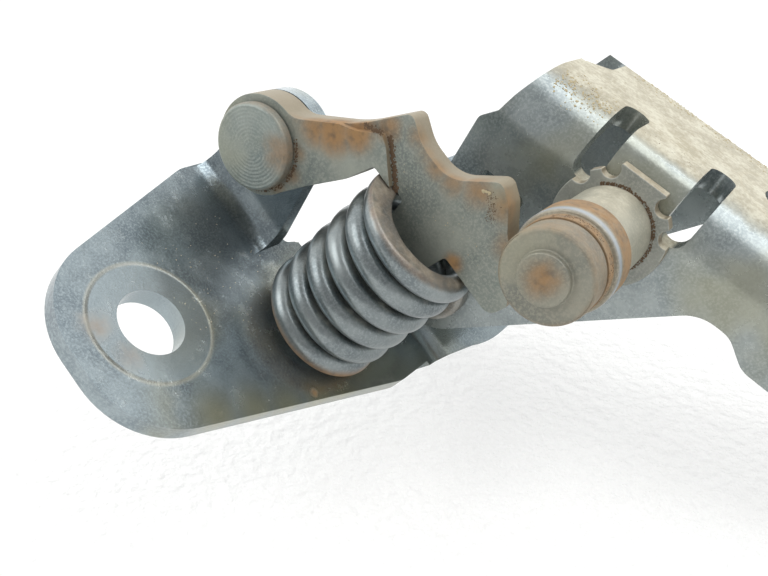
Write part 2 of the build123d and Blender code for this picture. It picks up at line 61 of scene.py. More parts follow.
WASHER_STEP = 0.00006
PLATE_DARK = (0.135, 0.170, 0.195, 1)
PLATE_PALE = (0.360, 0.420, 0.440, 1)
PLATE_OLIVE = (0.330, 0.320, 0.215, 1)
CUT_EDGE = (0.290, 0.235, 0.155, 1)
RUST_DARK = (0.120, 0.075, 0.042, 1)
RUST_BRIGHT = (0.300, 0.165, 0.062, 1)
DUST_TONE = (0.640, 0.610, 0.490, 1)
DUST_DEEP = (0.440, 0.390, 0.280, 1)


def add(tree, kind, inputs=None, **settings):
    """Puts a node in the tree; inputs are values or the sockets that feed it."""
    made = tree.nodes.new(kind)
    for name, value in settings.items():
        setattr(made, name, value)
    for name, value in (inputs or {}).items():
        if isinstance(value, bpy.types.NodeSocket):
            tree.links.new(value, made.inputs[name])
        else:
            made.inputs[name].default_value = value
    return made


def maths(tree, operation, *values):
    return add(tree, "ShaderNodeMath", dict(enumerate(values)), operation=operation).outputs[0]


def blend_colour(tree, factor, first, second):
    made = add(tree, "ShaderNodeMix", {0: factor, 6: first, 7: second}, data_type="RGBA")
    return made.outputs[2]


def ramp(tree, value, low, high, to_low=0.0, to_high=1.0):
    """Smooth step of a value between two levels."""
    made = add(tree, "ShaderNodeMapRange", {"Value": value, "From Min": low, "From Max": high,
                                            "To Min": to_low, "To Max": to_high},
               interpolation_type="SMOOTHSTEP")
    return made.outputs["Result"]


def surface_place(tree):
    """Where a point of the surface lies, in the piece's own measures."""
    return add(tree, "ShaderNodeTexCoord").outputs["Object"]


def noise(tree, place, scale, detail, roughness=0.5):
    made = add(tree, "ShaderNodeTexNoise", {"Vector": place, "Scale": scale, "Detail": detail,
                                            "Roughness": roughness})
    return made.outputs["Fac"]


def from_vectors(tree, operation, first, second):
    """One number from two vectors: their distance or their dot product."""
    made = add(tree, "ShaderNodeVectorMath", {0: first, 1: second}, operation=operation)
    return made.outputs["Value"]


def turned_to(tree, way):
    """How far the surface faces a direction, from -1 to 1."""
    normal = add(tree, "ShaderNodeNewGeometry").outputs["Normal"]
    return from_vectors(tree, "DOT_PRODUCT", normal, way)


def new_group(name, inputs, outputs):
    """Empty shader node group; inputs are (name, kind, value) and outputs (name, kind)."""
    group = bpy.data.node_groups.new(name, "ShaderNodeTree")
    for label, kind, value in inputs:
        socket = group.interface.new_socket(label, in_out="INPUT", socket_type=kind)
        socket.default_value = value
    for label, kind in outputs:
        group.interface.new_socket(label, in_out="OUTPUT", socket_type=kind)
    return group, group.nodes.new("NodeGroupInput").outputs, group.nodes.new("NodeGroupOutput")


def make_grain():
    """Mottle, sparkle and fine pits of a plated steel surface."""
    tree, given, out = new_group(
        "plating grain",
        [("Mottle Size", "NodeSocketFloat", 110.0), ("Pit Size", "NodeSocketFloat", 2000.0),
         ("Depth", "NodeSocketFloat", 0.00002)],
        [("Mottle", "NodeSocketFloat"), ("Speckle", "NodeSocketFloat"),
         ("Olive", "NodeSocketFloat"), ("Height", "NodeSocketFloat")])
    place = surface_place(tree)
    mottle = noise(tree, place, given["Mottle Size"], 5.0, 0.6)
    pits = noise(tree, place, given["Pit Size"], 2.0, 0.7)
    film = noise(tree, place, 38.0, 3.0)
    tree.links.new(ramp(tree, mottle, 0.20, 0.85), out.inputs["Mottle"])
    tree.links.new(ramp(tree, pits, 0.42, 0.66), out.inputs["Speckle"])
    tree.links.new(ramp(tree, film, 0.48, 0.68), out.inputs["Olive"])
    tree.links.new(maths(tree, "MULTIPLY", pits, given["Depth"]), out.inputs["Height"])
    return tree


def make_rust():
    """Patches of rust: where they lie and their colour."""
    tree, given, out = new_group(
        "rust patches",
        [("Amount", "NodeSocketFloat", 0.2), ("Size", "NodeSocketFloat", 120.0),
         ("Where", "NodeSocketFloat", 0.0)],
        [("Mask", "NodeSocketFloat"), ("Colour", "NodeSocketColor")])
    place = surface_place(tree)
    patch = noise(tree, place, given["Size"], 6.0, 0.65)
    tone = noise(tree, place, 700.0, 4.0)
    reach = maths(tree, "ADD", maths(tree, "MULTIPLY", patch, 0.6),
                  maths(tree, "ADD", given["Amount"], given["Where"]))
    tree.links.new(ramp(tree, reach, 0.45, 1.40, 0.0, 0.92), out.inputs["Mask"])
    tree.links.new(blend_colour(tree, ramp(tree, tone, 0.15, 0.60), RUST_DARK, RUST_BRIGHT),
                   out.inputs["Colour"])
    return tree


def make_dust():
    """Dry road dust that has settled on faces turned one way."""
    tree, given, out = new_group(
        "settled dust",
        [("Amount", "NodeSocketFloat", 0.3), ("Facing", "NodeSocketVector", (-0.28, 0, 0.96)),
         ("Size", "NodeSocketFloat", 160.0)],
        [("Mask", "NodeSocketFloat"), ("Colour", "NodeSocketColor"),
         ("Height", "NodeSocketFloat")])
    place = surface_place(tree)
    clumps = noise(tree, place, given["Size"], 8.0, 0.75)
    lies = maths(tree, "MULTIPLY", ramp(tree, turned_to(tree, given["Facing"]), 0.72, 1.0),
                 given["Amount"])
    mask = ramp(tree, maths(tree, "ADD", clumps, lies), 0.60, 1.40)
    grains = noise(tree, place, 1100.0, 4.0, 0.7)
    thick = maths(tree, "ADD", maths(tree, "MULTIPLY", clumps, 0.6),
                  maths(tree, "MULTIPLY", grains, 0.4))
    tree.links.new(mask, out.inputs["Mask"])
    tree.links.new(blend_colour(tree, ramp(tree, thick, 0.42, 0.60), DUST_DEEP, DUST_TONE),
                   out.inputs["Colour"])
    tree.links.new(maths(tree, "MULTIPLY", maths(tree, "MULTIPLY", mask, thick), 0.0003),
                   out.inputs["Height"])
    return tree


def make_ring():
    """Round mark about a centre: a step at one radius, worn inside it and dusty on its rim."""
    tree, given, out = new_group(
        "round mark",
        [("Centre", "NodeSocketVector", (0, 0, 0)), ("Radius", "NodeSocketFloat", 0.012),
         ("Step", "NodeSocketFloat", 0.0001)],
        [("Height", "NodeSocketFloat"), ("Inside", "NodeSocketFloat"),
         ("Rim", "NodeSocketFloat")])
    away = from_vectors(tree, "DISTANCE", surface_place(tree), given["Centre"])
    off = maths(tree, "SUBTRACT", away, given["Radius"])
    inside = ramp(tree, off, -0.6 * MM, 0.1 * MM, 1.0, 0.0)
    rim = ramp(tree, maths(tree, "ABSOLUTE", off), 0.1 * MM, 0.7 * MM, 1.0, 0.0)
    tree.links.new(maths(tree, "MULTIPLY", inside, maths(tree, "MULTIPLY", given["Step"], -1.0)),
                   out.inputs["Height"])
    tree.links.new(inside, out.inputs["Inside"])
    tree.links.new(rim, out.inputs["Rim"])
    return tree


GRAIN, RUST, DUST, RING = make_grain(), make_rust(), make_dust(), make_ring()


def use(tree, group, inputs):
    return add(tree, "ShaderNodeGroup", inputs, node_tree=group).outputs


def spots_from_mm(rows):
    """Spots for near_spots, from rows of x, y, z and reach in mm, and the strength."""
    return [(tuple(v * MM for v in place), reach * MM, strength)
            for *place, reach, strength in rows]


def near_spots(tree, spots):
    """Soft mask round points of the surface; spots are (place, reach, strength)."""
    place = surface_place(tree)
    most = 0.0
    for centre, reach, strength in spots:
        away = from_vectors(tree, "DISTANCE", place, centre)
        most = maths(tree, "MAXIMUM", most, ramp(tree, away, 0.0, reach, strength, 0.0))
    return most


SPECKLE_SHARE = 0.65
WORN_IN_RING = 0.60
DUST_ON_RIM = 0.35
DIRT_SHARE = 0.85
COVERED_METALLIC = 0.05
COVERED_ROUGH = 0.85


def steel(name, dark, pale, rough=0.42, metallic=0.85, rust=0.0, rust_size=120.0, dust=0.0,
          facing=(-0.28, 0, 0.96), depth=0.00002, olive=0.0, marks=(), flat_way=None,
          rusty_where=None, waves=None, film=None):
    """Metal finish built from the shared grain, rust and dust.

    marks are (centre, radius, step) of round marks; flat_way is the normal of a stamped
    piece's plate, so that its cut edges show worn. rusty_where and waves are functions that
    take the tree and give a socket: where rust gathers, and an extra surface height. film is
    such a function for where a thin film lies, with the film's colour.
    """
    made = bpy.data.materials.new(name)
    made.use_nodes = True
    tree = made.node_tree
    shader = tree.nodes["Principled BSDF"]
    grain = use(tree, GRAIN, {"Depth": depth})
    height = grain["Height"]
    colour = blend_colour(tree, grain["Mottle"], dark, pale)
    colour = blend_colour(tree, maths(tree, "MULTIPLY", grain["Speckle"], SPECKLE_SHARE),
                          colour, pale)
    if olive:
        colour = blend_colour(tree, maths(tree, "MULTIPLY", grain["Olive"], olive), colour,
                              PLATE_OLIVE)
    for centre, radius, step in marks:
        ring = use(tree, RING, {"Centre": centre, "Radius": radius, "Step": step})
        colour = blend_colour(tree, maths(tree, "MULTIPLY", ring["Inside"], WORN_IN_RING),
                              colour, pale)
        colour = blend_colour(tree, maths(tree, "MULTIPLY", ring["Rim"], DUST_ON_RIM),
                              colour, DUST_TONE)
        height = maths(tree, "ADD", height, ring["Height"])
    if flat_way:
        cut = ramp(tree, maths(tree, "ABSOLUTE", turned_to(tree, flat_way)), 0.15, 0.80,
                   0.75, 0.0)
        colour = blend_colour(tree, cut, colour, CUT_EDGE)
    if film:
        colour = blend_colour(tree, film[0](tree), colour, film[1])
    where = rusty_where(tree) if rusty_where else 0.0
    patches = use(tree, RUST, {"Amount": rust, "Size": rust_size, "Where": where})
    dirt = use(tree, DUST, {"Amount": dust, "Facing": facing})
    colour = blend_colour(tree, patches["Mask"], colour, patches["Colour"])
    colour = blend_colour(tree, maths(tree, "MULTIPLY", dirt["Mask"], DIRT_SHARE), colour,
                          dirt["Colour"])
    cover = maths(tree, "MAXIMUM", patches["Mask"], dirt["Mask"])
    if waves:
        height = maths(tree, "ADD", height, waves(tree))
    height = maths(tree, "ADD", height, dirt["Height"])
    bump = add(tree, "ShaderNodeBump", {"Height": height, "Strength": 1.0, "Distance": 1.0})
    tree.links.new(colour, shader.inputs["Base Color"])
    tree.links.new(ramp(tree, cover, 0.0, 1.0, metallic, COVERED_METALLIC),
                   shader.inputs["Metallic"])
    dull = maths(tree, "ADD", cover, maths(tree, "MULTIPLY", grain["Mottle"], 0.2))
    tree.links.new(ramp(tree, dull, 0.0, 1.0, rough, COVERED_ROUGH), shader.inputs["Roughness"])
    tree.links.new(bump.outputs["Normal"], shader.inputs["Normal"])
    return made


def placed(name, data):
    """New object in the scene."""
    made = bpy.data.objects.new(name, data)
    bpy.context.scene.collection.objects.link(made)
    return made


def dressed(node, body, material, edge):
    """Stands for a solid: the same form with its sharp edges slightly rounded.

    The large flat faces keep their own normals, so that they shade evenly.
    """
    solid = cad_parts[node]
    piece = placed(node + "_finish", solid.data.copy())
    piece.matrix_world = solid.matrix_world.copy()
    piece.data.materials.clear()
    piece.data.materials.append(material)
    weld = piece.modifiers.new("weld", "WELD")
    weld.merge_threshold = 0.01 * MM
    flat = piece.modifiers.new("flat", "DECIMATE")
    flat.decimate_type = "DISSOLVE"
    flat.angle_limit = math.radians(1.0)
    rounding = piece.modifiers.new("edge", "BEVEL")
    rounding.width = edge
    rounding.segments = 3
    rounding.limit_method = "ANGLE"
    rounding.angle_limit = math.radians(35)
    even = piece.modifiers.new("even", "WEIGHTED_NORMAL")
    even.weight = 50
    for face in piece.data.polygons:
        face.use_smooth = True
    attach(piece, body)
    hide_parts(node)


CRUMB_CORNERS = [Vector(corner) for corner in
                 [(1, 0, 0), (-1, 0, 0), (0, 1, 0), (0, -1, 0), (0, 0, 1), (0, 0, -1)]]
CRUMB_FACES = [(0, 2, 4), (2, 1, 4), (1, 3, 4), (3, 0, 4), (2, 0, 5), (1, 2, 5), (3, 1, 5),
               (0, 3, 5)]
CRUMB_STRETCH = (0.6, 1.3)
CRUMB_FLATTENED = 0.5


def matt(name, colour):
    made = bpy.data.materials.new(name)
    made.use_nodes = True
    shader = made.node_tree.nodes["Principled BSDF"]
    shader.inputs["Base Color"].default_value = colour
    shader.inputs["Roughness"].default_value = 0.9
    return made


def crumbs(name, body, material, places, sizes, seed):
    """Small lumps of dirt in one mesh; places are (point, normal), and sizes are in mm."""
    chance = random.Random(seed)
    points, faces = [], []
    for point, normal in places:
        size = chance.uniform(sizes[0] * MM, sizes[1] * MM)
        turn = Matrix.Rotation(chance.uniform(0, math.tau), 3, Vector((1, 2, 3)).normalized())
        first = len(points)
        for corner in CRUMB_CORNERS:
            off = turn @ corner * size * chance.uniform(*CRUMB_STRETCH)
            points.append(point + off - normal * off.dot(normal) * CRUMB_FLATTENED)
        faces += [tuple(first + index for index in face) for face in CRUMB_FACES]
    mesh = bpy.data.meshes.new(name)
    mesh.from_pydata(points, [], faces)
    mesh.materials.append(material)
    piece = placed(name, mesh)
    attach(piece, body)


dark_crust = matt("dark crust", (0.110, 0.070, 0.040, 1))
pale_mud = matt("pale mud", (0.440, 0.375, 0.240, 1))
FOOT_RUST = spots_from_mm(
    [(-3.6, -65.2, PLATE, 7, 0.50), (3.5, -63.2, PLATE, 6, 0.50), (26.4, -32.4, PLATE, 2.0, 0.9),
     (18.2, -40.9, PLATE, 3, 0.3), (-2, -12, PLATE, 6, 0.3)])
FOOT_FILM = spots_from_mm(
    [(x, y, PLATE, 8, 0.85) for x, y in
     [(20, -55), (23, -47), (26, -40), (29, -32), (31, -26), (24, -20)]])


def foot_rust(tree):
    return near_spots(tree, FOOT_RUST)


def foot_film(tree):
    return near_spots(tree, FOOT_FILM)


plated = steel("dark zinc plate", PLATE_DARK, PLATE_PALE, rough=0.22, metallic=0.78, rust=0.02,
               rust_size=220.0, dust=0.10, facing=(0, 0, 1), depth=0.000012, olive=0.55,
               marks=[(FRONT_HOLE, WASHER_R, WASHER_STEP), (REAR_HOLE, WASHER_R, WASHER_STEP)],
               rusty_where=foot_rust, film=(foot_film, PLATE_OLIVE))
dressed("pillar_leaf", "pillar", plated, PLATE_EDGE)
chance = random.Random(3)
crumbs("foot_specks", "pillar", pale_mud,
       [(Vector((chance.uniform(-15, 8), chance.uniform(-48, -22), PLATE)) * MM,
         Vector((0, 0, 1))) for _ in range(110)], (0.05, 0.13), 4)

# Hinge pin with its two flanged bushes and the ring that keeps it. The pin is turned steel
# with a round head; the bushes are taken as bronze and show only thin flanges beside the ears.
PIN_DARK = (0.160, 0.175, 0.170, 1)
PIN_PALE = (0.360, 0.370, 0.350, 1)
turned_pin = steel("turned pin steel", PIN_DARK, PIN_PALE, rough=0.40, rust=0.35, dust=0.2)
bush_bronze = steel("bush bronze", (0.20, 0.13, 0.06, 1), (0.42, 0.30, 0.15, 1), rough=0.45,
                    dust=0.2)
clip_steel = steel("clip steel", (0.06, 0.06, 0.06, 1), (0.16, 0.16, 0.15, 1), rough=0.4,
                   rust=0.2)
dressed("hinge_pin", "door", turned_pin, 0.3 * MM)
dressed("hinge_bush_front", "pillar", bush_bronze, 0.15 * MM)
dressed("hinge_bush_rear", "pillar", bush_bronze, 0.15 * MM)
dressed("pin_clip", "door", clip_steel, 0.15 * MM)

# Lever pivot pin. Turned steel with a wide flat head that still shows the rings of the
# lathe, riveted behind the ear; rust creeps from under the head.
PIVOT_X, PIVOT_Z = -18.5, 23.0
HEAD_FACE_Y = -26.9 * MM
PIVOT = Vector((PIVOT_X * MM, HEAD_FACE_Y, PIVOT_Z * MM))
RING_WAVE = 9000.0             # radians a metre, so a ring each 0.7 mm
RING_DEPTH = 0.000015
PIVOT_RIM = (7.6 * MM, 8.8 * MM)


def from_axis(tree, axis_point):
    """Distance from an axis along Y through a point."""
    flat = add(tree, "ShaderNodeVectorMath", {0: surface_place(tree), 1: (1, 0, 1)},
               operation="MULTIPLY").outputs["Vector"]
    return from_vectors(tree, "DISTANCE", flat, (axis_point[0], 0, axis_point[2]))


def lathe_rings(tree):
    wave = maths(tree, "SINE", maths(tree, "MULTIPLY", from_axis(tree, PIVOT), RING_WAVE))
    return maths(tree, "MULTIPLY", wave, RING_DEPTH)


def pivot_rust(tree):
    """Brown on the side of the head that faces the cam, and round its rim."""
    rim = ramp(tree, from_axis(tree, PIVOT), *PIVOT_RIM, 0.0, 0.5)
    side = near_spots(tree, [((-13.0 * MM, HEAD_FACE_Y, 28.0 * MM), 8 * MM, 0.6)])
    return maths(tree, "MAXIMUM", rim, side)


pivot_steel = steel("pivot head steel", (0.140, 0.175, 0.172, 1), (0.300, 0.330, 0.300, 1),
                    rough=0.42, metallic=0.45, rust=0.10, rust_size=230.0, dust=0.15,
                    olive=0.4, waves=lathe_rings, rusty_where=pivot_rust)
dressed("lever_pivot_pin", "pillar", pivot_steel, 0.25 * MM)

# Check lever. Stamped 6.4 mm steel that turns on the pivot pin, coined thinner where the
# roller rides; plated, with orange rust along the cam edge and on top of the arm where the
# plating has worn off.
LEVER_DARK = (0.130, 0.155, 0.145, 1)
LEVER_PALE = (0.310, 0.325, 0.280, 1)
LEVER_RUST = spots_from_mm(
    [(-12.5, -24.2, 36.0, 7, 0.85), (-9.8, -24.2, 38.8, 8, 1.05), (-6.5, -24.2, 42.5, 7, 1.00),
     (-15.8, -24.2, 34.3, 5, 0.35), (-3.0, -23.1, 47.8, 5, 0.75), (1.5, -23.1, 51.5, 5, 0.6),
     (5.0, -23.1, 51.0, 5, 0.5), (8.0, -23.1, 51.0, 5, 0.7), (11.5, -23.1, 51.5, 5, 0.75),
     (15.5, -23.1, 54.5, 6, 0.75), (20.5, -23.1, 57.0, 6.5, 0.7), (26.5, -23.1, 53.3, 6, 0.6),
     (22.6, -23.1, 42.0, 3.5, 1.0), (-9.6, -24.2, 25.5, 4, 0.60), (-10.2, -24.2, 20.5, 4, 0.55),
     (-11.5, -24.2, 29.5, 4, 0.55)])


def lever_rust(tree):
    return near_spots(tree, LEVER_RUST)


lever_steel = steel("worn lever steel", LEVER_DARK, LEVER_PALE, rough=0.50, metallic=0.40,
                    rust=0.08, rust_size=140.0, dust=0.06, facing=(-0.6, 0.1, 0.8), olive=0.6,
                    flat_way=(0, 1, 0), rusty_where=lever_rust)
dressed("check_lever", "lever", lever_steel, 0.6 * MM)

# Crust on the lever: dried dirt behind the pivot's head, on the arm, along the coined step
# and near the cam's nose, with a pale flake and a few pale specks.
TOWARDS_FRONT = Vector((0, -1, 0))
ARM_Y, CAM_Y = -24.25, -23.05
ARM_CRUST = [(-6.4, 44.9), (-4.4, 46.0), (-3.2, 46.8)]
STEP_LINE = [(-1.9, 47.0), (0.3, 45.5), (3.2, 43.4), (6.2, 41.1)]


def ring_places(centre, radii, angles, y, count, seed):
    """Points round an axis along Y, on a face that looks to the front."""
    chance = random.Random(seed)
    places = []
    for _ in range(count):
        radius, angle = chance.uniform(*radii), math.radians(chance.uniform(*angles))
        places.append((Vector((centre[0] + radius * math.cos(angle), y,
                               centre[1] + radius * math.sin(angle))) * MM, TOWARDS_FRONT))
    return places


def line_places(points, y, spread, count, seed):
    """Points scattered along a line on a face that looks to the front."""
    chance = random.Random(seed)
    places = []
    for _ in range(count):
        step = chance.randrange(len(points) - 1)
        along = chance.random()
        x, z = [points[step][i] + (points[step + 1][i] - points[step][i]) * along
                + chance.gauss(0, spread) for i in (0, 1)]
        places.append((Vector((x, y, z)) * MM, TOWARDS_FRONT))
    return places


crumbs("crust_behind_head", "lever", dark_crust,
       ring_places((PIVOT_X, PIVOT_Z), (8.6, 9.3), (-75, 60), ARM_Y, 150, 11),
       (0.10, 0.30), 12)
crumbs("crust_on_arm", "lever", dark_crust,
       line_places(ARM_CRUST, ARM_Y, 0.28, 110, 43), (0.10, 0.30), 44)
crumbs("crust_on_step", "lever", dark_crust,
       line_places(STEP_LINE, CAM_Y, 0.28, 330, 13), (0.10, 0.36), 14)
crumbs("crust_on_nose", "lever", dark_crust,
       line_places([(18.1, 55.9), (19.6, 54.8), (20.4, 52.8)], CAM_Y, 0.60, 120, 15),
       (0.05, 0.15), 16)
crumbs("flake", "lever", pale_mud,
       line_places([(15.9, 55.2), (17.3, 56.2)], CAM_Y, 0.12, 9, 17), (0.30, 0.55), 18)
crumbs("lever_specks", "lever", pale_mud,
       line_places([(2, 44), (12, 46), (22, 46), (27, 50)], CAM_Y, 2.2, 45, 19),
       (0.05, 0.14), 20)

# Check spring. Cold-coiled 5.1 mm wire, both ends closed and ground flat, satin blue-grey;
# the lowest turn has gone brown where water stands on the foot, the ground top is browned
# too, and the uppermost turn ends in a thin ground tip.
COIL_X = 14.9 * MM
COIL_Y = -21.075 * MM
COIL_LOW = PLATE * MM
COIL_HIGH = 40.9 * MM
COIL_MEAN_R = 10.95 * MM
WIRE_R = 2.55 * MM
END_PITCH = 5.3 * MM
PITCH = 6.1 * MM
GROUND_OFF = 1.2 * MM
COIL_START = math.radians(200)
TIP_TURN = 0.42
STEPS_A_TURN = 96
SIDES = 28
BROWN_BELOW = (7.8 * MM, 11.0 * MM)
BROWN_ABOVE = (39.2 * MM, 40.7 * MM)


def coil_mesh():
    start = WIRE_R - GROUND_OFF
    rise = COIL_HIGH - COIL_LOW - 2 * start
    open_turns = (rise - 2 * END_PITCH) / PITCH
    turns = open_turns + 2 + TIP_TURN
    count = int(turns * STEPS_A_TURN)
    points, faces = [], []
    for i in range(count + 1):
        turn = turns * i / count
        closed = min(turn, 1) + max(turn - 1 - open_turns, 0)
        height = start + closed * END_PITCH + min(max(turn - 1, 0), open_turns) * PITCH
        angle = COIL_START + 2 * math.pi * turn
        out = Vector((math.cos(angle), -math.sin(angle), 0))
        for side in range(SIDES):
            lean = 2 * math.pi * side / SIDES
            reach = COIL_MEAN_R + WIRE_R * math.cos(lean)
            level = COIL_LOW + height + WIRE_R * math.sin(lean)
            level = min(max(level, COIL_LOW), COIL_HIGH)
            points.append((COIL_X + out.x * reach, COIL_Y + out.y * reach, level))
    for i in range(count):
        for side in range(SIDES):
            after = (side + 1) % SIDES
            faces.append((i * SIDES + side, (i + 1) * SIDES + side,
                          (i + 1) * SIDES + after, i * SIDES + after))
    faces.append(tuple(range(SIDES)))
    faces.append(tuple(reversed(range(count * SIDES, (count + 1) * SIDES))))
    mesh = bpy.data.meshes.new("coil")
    mesh.from_pydata(points, [], faces)
    for face in mesh.polygons:
        face.use_smooth = len(face.vertices) == 4
    return mesh


def coil_ends(tree):
    """Brown on the lowest turn, and less so on the ground top."""
    high = add(tree, "ShaderNodeSeparateXYZ", {0: surface_place(tree)}).outputs["Z"]
    return maths(tree, "MAXIMUM", ramp(tree, high, *BROWN_BELOW, 0.8, 0.0),
                 ramp(tree, high, *BROWN_ABOVE, 0.0, 0.50))


coil_steel = steel("coil spring steel", (0.130, 0.155, 0.165, 1), (0.290, 0.320, 0.320, 1),
                   rough=0.28, metallic=0.85, rust=0.06, rust_size=160.0, dust=0.30,
                   facing=(0, 0, 1), rusty_where=coil_ends)
coil = placed("check_spring_coil", coil_mesh())
coil.data.materials.append(coil_steel)
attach(coil, "pillar")
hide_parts("check_spring")
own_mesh(coil)

# Door leaf. Stamped channel of 4.5 mm plate with two slots across the front bend, so that
# the tongue between them can be bent tighter; its web is pale with dried road dust.
WEB_NORMAL = (-0.2756, 0, 0.9613)
NEAR_HOLE = Vector((52.42 * MM, 22.6 * MM, 81.78 * MM))
FAR_HOLE = Vector((83.18 * MM, 22.6 * MM, 90.60 * MM))
dusty_plate = steel("dusty zinc plate", (0.150, 0.180, 0.190, 1), (0.390, 0.430, 0.425, 1),
                    rough=0.25, metallic=0.60, rust=0.04, rust_size=140.0, dust=0.85,
                    facing=WEB_NORMAL, depth=0.000012, olive=0.55,
                    marks=[(NEAR_HOLE, WASHER_R, WASHER_STEP), (FAR_HOLE, WASHER_R, WASHER_STEP)])
dressed("door_leaf", "door", dusty_plate, PLATE_EDGE)

# Mud on the door leaf: dried road mud, stuck on in small pale and dark lumps along the front
# bend and along the web's far edge.
LEAF_TURN = math.radians(16)
PIN = Vector((21.9, 0, 20.6))
WEB_W = 50.4
SLOTS_U = (12.2, 32.1)
SLOT_HALF, SLOT_END = 3.2, 17.5
TIGHT_BEND, WIDE_BEND, REAR_BEND = (6.0, 7.1), (12.5, 13.6), (6.0, 38.1)   # radius, start in Y
FRONT_LIMIT, REAR_LIMIT = 2.5, 42.5


def on_web(u, y):
    """Point and normal of the web's outer face or of its bends, at u along the leaf, in mm."""
    behind = y > REAR_BEND[1]
    radius, start = TIGHT_BEND if SLOTS_U[0] < u < SLOTS_U[1] else WIDE_BEND
    if behind:
        radius, start = REAR_BEND
    off = start - y if y < start or behind else 0.0
    height = math.sqrt(radius * radius - off * off)
    tilt = Vector((0, -off / radius, height / radius))
    u_way = Vector((math.cos(LEAF_TURN), 0, math.sin(LEAF_TURN)))
    w_way = Vector((-math.sin(LEAF_TURN), 0, math.cos(LEAF_TURN)))
    point = PIN + u_way * u + w_way * (WEB_W - radius + height) + Vector((0, y, 0))
    return point * MM, Vector((0, tilt.y, 0)) + w_way * tilt.z


def web_places(u_range, y_middle, spread, count, seed):
    chance = random.Random(seed)
    places = []
    while len(places) < count:
        u, y = chance.uniform(*u_range), chance.gauss(y_middle, spread)
        in_slot = any(abs(u - middle) < SLOT_HALF for middle in SLOTS_U) and y < SLOT_END
        if not in_slot and FRONT_LIMIT < y < REAR_LIMIT:
            places.append(on_web(u, y))
    return places


crumbs("mud_on_bend", "door", pale_mud,
       web_places((-3.5, 9.0), 8.0, 1.6, 200, 21), (0.12, 0.34), 22)
crumbs("dark_mud_on_bend", "door", dark_crust,
       web_places((-3.5, 30.0), 8.6, 1.6, 60, 23), (0.05, 0.13), 24)
crumbs("mud_at_far_edge", "door", pale_mud,
       web_places((3.0, 70.0), 38.5, 2.2, 460, 25), (0.10, 0.36), 26)
crumbs("dark_mud_at_far_edge", "door", dark_crust,
       web_places((3.0, 70.0), 40.5, 1.2, 120, 27), (0.05, 0.16), 28)

# Roller stud with its notched plate and spacer sleeve. The stud is riveted through the front
# wall and turned with a low round boss on its head; the sleeve's top is pale with dust.
ROLLER_X, ROLLER_Z = 33.79, 59.85
ROLLER_AXIS = Vector((ROLLER_X * MM, 0, ROLLER_Z * MM))
BOSS_RUST = (0.5 * MM, 5.0 * MM)
STUD_RIM = (7.0 * MM, 8.4 * MM)
flange_plate = steel("notched plate steel", (0.190, 0.205, 0.190, 1), (0.360, 0.365, 0.325, 1),
                     rough=0.48, metallic=0.35, rust=0.08, dust=0.6, facing=WEB_NORMAL,
                     flat_way=(0, 1, 0))
sleeve_steel = steel("sleeve steel", (0.270, 0.270, 0.220, 1), (0.470, 0.450, 0.360, 1),
                     rough=0.42, metallic=0.40, rust=0.06, dust=0.5, facing=(-0.5, 0, 0.85))


def head_rust(tree):
    """The head is rusty in the middle of its boss and round its rim."""
    away = from_axis(tree, ROLLER_AXIS)
    middle = ramp(tree, away, *BOSS_RUST, 0.6, 0.0)
    rim = ramp(tree, away, *STUD_RIM, 0.0, 0.35)
    return maths(tree, "MAXIMUM", middle, rim)


stud_steel = steel("roller stud steel", (0.115, 0.125, 0.110, 1), (0.290, 0.280, 0.225, 1),
                   rough=0.46, metallic=0.35, rust=0.20, rust_size=200.0, dust=0.12,
                   olive=0.4, rusty_where=head_rust)
dressed("stud_flange", "door", flange_plate, 0.35 * MM)
dressed("stud_sleeve", "door", sleeve_steel, 0.2 * MM)
dressed("roller_stud", "door", stud_steel, 0.35 * MM)
crumbs("crust_round_sleeve", "door", dark_crust,
       ring_places((ROLLER_X, ROLLER_Z), (8.1, 8.8), (-25, 150), -1.6, 420, 31),
       (0.10, 0.28), 32)

# Roller. Steel ring that turns on the stud, rubbed where the lever's cam edge presses on it and
# painted pale blue along that band as a highlight, rusty beside that band, with dark crust round
# its front end.
BAND_FRONT_Y = -24.6 * MM
BAND_MIDDLE_Y = BAND_FRONT_Y + 1.0 * MM
RUST_BEHIND = (BAND_FRONT_Y + 1.2 * MM, BAND_FRONT_Y + 3.0 * MM)
RUST_BEFORE = (BAND_FRONT_Y - 0.3 * MM, BAND_FRONT_Y + 0.2 * MM)
HUB_R = 8.35


def along_roller(tree):
    return add(tree, "ShaderNodeSeparateXYZ", {0: surface_place(tree)}).outputs["Y"]


def beside_band(tree):
    along = along_roller(tree)
    behind = ramp(tree, along, *RUST_BEHIND, 0.0, 0.65)
    return maths(tree, "MAXIMUM", behind, ramp(tree, along, *RUST_BEFORE, 0.6, 0.0))


# Band rubbed by the cam edge; its pale bluish colour is a painted highlight.
def rubbed_band_and_highlight(tree):
    off = maths(tree, "ABSOLUTE", maths(tree, "SUBTRACT", along_roller(tree), BAND_MIDDLE_Y))
    return ramp(tree, off, 0.2 * MM, 1.0 * MM, 0.9, 0.0)


roller_steel = steel("roller steel", (0.200, 0.185, 0.140, 1), (0.360, 0.325, 0.250, 1),
                     rough=0.42, metallic=0.40, rust=0.16, rust_size=260.0, dust=0.20,
                     rusty_where=beside_band, film=(rubbed_band_and_highlight, (0.36, 0.40, 0.44, 1)))
dressed("roller", "roller", roller_steel, 0.3 * MM)
chance = random.Random(41)
hub_places = []
for start, end in ((-40, 70), (85, 150)):
    for _ in range(150):
        angle, y = math.radians(chance.uniform(start, end)), chance.uniform(-26.6, -24.9)
        out = Vector((math.cos(angle), 0, math.sin(angle)))
        hub_places.append(((Vector((ROLLER_X, y, ROLLER_Z)) + out * HUB_R) * MM, out))
crumbs("crust_on_hub", "roller", dark_crust, hub_places,
       (0.10, 0.26), 42)

